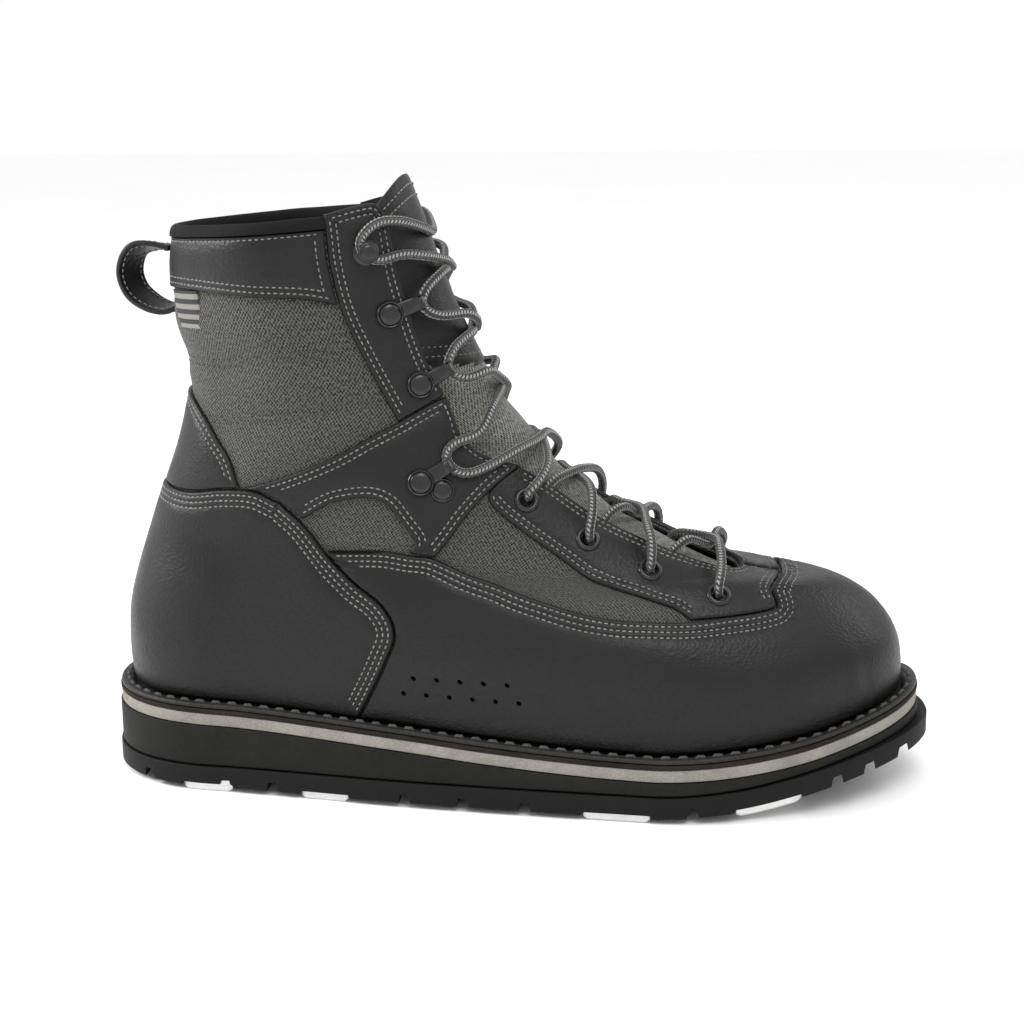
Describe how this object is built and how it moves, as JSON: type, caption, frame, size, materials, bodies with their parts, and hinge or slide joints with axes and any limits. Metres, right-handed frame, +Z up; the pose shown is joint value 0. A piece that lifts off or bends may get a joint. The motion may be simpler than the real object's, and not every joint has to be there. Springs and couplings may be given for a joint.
{
  "type": "wading boot",
  "caption": "Ankle-high lace-up wading boot for the right foot, with a rubber toe-to-heel sole, metal traction bars, hooks, eyelets and a hollow leather and fabric upper.",
  "frame": {"origin": "centre of the rear heel bar's flat underside, on the floor", "axes": "+X towards the toe, +Y towards the inner side of the foot, +Z up"},
  "size_m": [0.32, 0.1179, 0.2316],
  "materials": {
    "fabric": "tightly woven nylon, matt",
    "leather": "waxed grain leather, satin",
    "binding": "woven tape, matt",
    "rubber": "moulded, matt",
    "wedge": "ground smooth, matt",
    "foam": "ground foam, matt",
    "board": "edge dressed, matt",
    "footbed": "brushed cloth, matt",
    "aluminium": "milled, satin",
    "black_metal": "black lacquer, satin",
    "lace": "round braid, matt",
    "tag": "woven tape, matt"
  },
  "bodies": {
    "root": {"upper": "fabric", "tongue": "fabric", "insole": "footbed", "stitched_edge": "leather", "leather_midsole": "board", "foam_layer": "foam", "wedge_midsole": "wedge", "outsole": "rubber", "counter": "leather", "vamp": "leather", "backstay": "leather", "cuff": "leather", "facing_outer": "leather", "facing_inner": "leather", "ankle_outer": "leather", "ankle_inner": "leather", "eyestay_outer": "leather", "eyestay_inner": "leather", "collar_binding": "binding", "bar_heel_rear": "aluminium", "bar_heel_front": "aluminium", "bar_ball": "aluminium", "bar_toe": "aluminium", "eyelet_1_outer": "black_metal", "eyelet_1_inner": "black_metal", "eyelet_2_outer": "black_metal", "eyelet_2_inner": "black_metal", "eyelet_3_outer": "black_metal", "eyelet_3_inner": "black_metal", "eyelet_4_outer": "black_metal", "eyelet_4_inner": "black_metal", "hook_1_outer": "black_metal", "hook_1_inner": "black_metal", "hook_2_outer": "black_metal", "hook_2_inner": "black_metal", "hook_3_outer": "black_metal", "hook_3_inner": "black_metal", "hook_4_outer": "black_metal", "hook_4_inner": "black_metal", "lace_cross_1": "lace", "lace_cross_2": "lace", "lace_cross_3": "lace", "lace_cross_4": "lace", "lace_cross_5": "lace", "lace_cross_6": "lace", "lace_cross_7": "lace", "lace_top": "lace", "pull_loop": "leather", "side_tag": "tag"}
  },
  "joints": []
}
